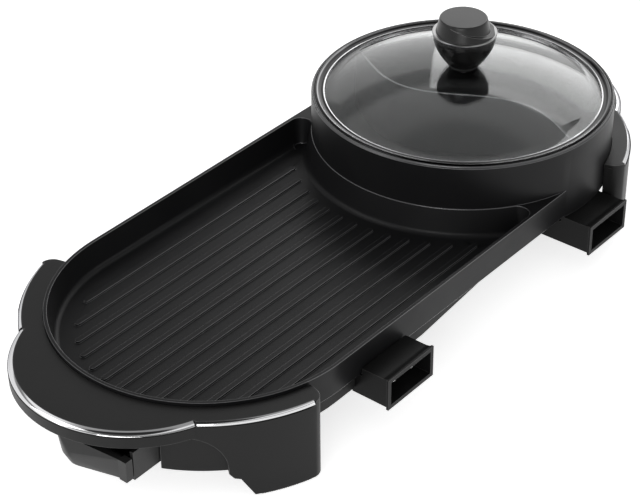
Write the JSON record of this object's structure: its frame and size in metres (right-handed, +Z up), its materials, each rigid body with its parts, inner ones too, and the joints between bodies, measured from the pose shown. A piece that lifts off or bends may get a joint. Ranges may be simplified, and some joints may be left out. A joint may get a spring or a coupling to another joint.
{
  "type": "electric hot pot with grill tray",
  "caption": "Long cast grill tray joined to a round divided pot, on two lobed handles with legs; lift-off domed glass lid with knob, plug-in sockets on one side and a pull-out drip cup.",
  "frame": {"origin": "on the table, in the middle of the outline", "axes": "+X from the grill to the pot, -Y towards the side with the sockets, +Z up"},
  "size_m": [0.697, 0.3019, 0.1872],
  "materials": {
    "pan_coating": "satin black non-stick coating",
    "divider_coating": "satin black non-stick coating",
    "heater_sheath": "dull heat-toned sheath",
    "zinc_steel": "satin",
    "cover_enamel": "matte black",
    "socket_plastic": "fine matte moulding",
    "pin_metal": "polished",
    "insulator_ceramic": "unglazed",
    "handle_plastic": "fine matte moulding",
    "cup_plastic": "smooth satin moulding",
    "foot_rubber": "matte",
    "washer_rubber": "matte",
    "bright_trim": "polished",
    "lid_glass": "clear tempered",
    "rim_steel": "polished",
    "knob_gloss": "glossy",
    "knob_satin": "satin grey sheen"
  },
  "bodies": {
    "base": {"cast_pan": "pan_coating", "pot_divider": "divider_coating", "grill_heater": "heater_sheath", "pot_heater": "heater_sheath", "grill_heater_clips": "zinc_steel", "pot_heater_clips": "zinc_steel", "grill_cover": "cover_enamel", "pot_cover": "cover_enamel", "grill_cover_screws": "zinc_steel", "pot_cover_screws": "zinc_steel", "grill_socket_shroud": "socket_plastic", "pot_socket_shroud": "socket_plastic", "grill_terminal_pins": "pin_metal", "pot_terminal_pins": "pin_metal", "grill_pin_insulators": "insulator_ceramic", "pot_pin_insulators": "insulator_ceramic", "grill_probe_sleeve": "pin_metal", "pot_probe_sleeve": "pin_metal", "grill_socket_screws": "zinc_steel", "pot_socket_screws": "zinc_steel", "front_handle": "handle_plastic", "rear_handle": "handle_plastic", "front_trim_middle": "bright_trim", "front_trim_near": "bright_trim", "front_trim_far": "bright_trim", "rear_trim_middle": "bright_trim", "rear_trim_near": "bright_trim", "rear_trim_far": "bright_trim", "front_handle_screws": "zinc_steel", "rear_handle_screws": "zinc_steel", "front_foot_pads": "foot_rubber", "rear_foot_pads": "foot_rubber", "cup_rails": "cup_plastic", "cup_rail_screws": "zinc_steel"},
    "lid": {"lid_glass": "lid_glass", "lid_rim_band": "rim_steel", "knob_washers": "washer_rubber", "knob_screw": "zinc_steel", "knob_body": "knob_gloss", "knob_ring": "rim_steel", "knob_cap": "knob_satin"},
    "cup": {"drip_cup": "cup_plastic"}
  },
  "joints": [
    {"name": "lid_lift", "type": "slide", "parent": "base", "child": "lid", "axis": [0, 0, 1], "range_m": [0, 0.12]},
    {"name": "drip_cup_slide", "type": "slide", "parent": "base", "child": "cup", "axis": [-1, 0, 0], "range_m": [0, 0.07]}
  ]
}
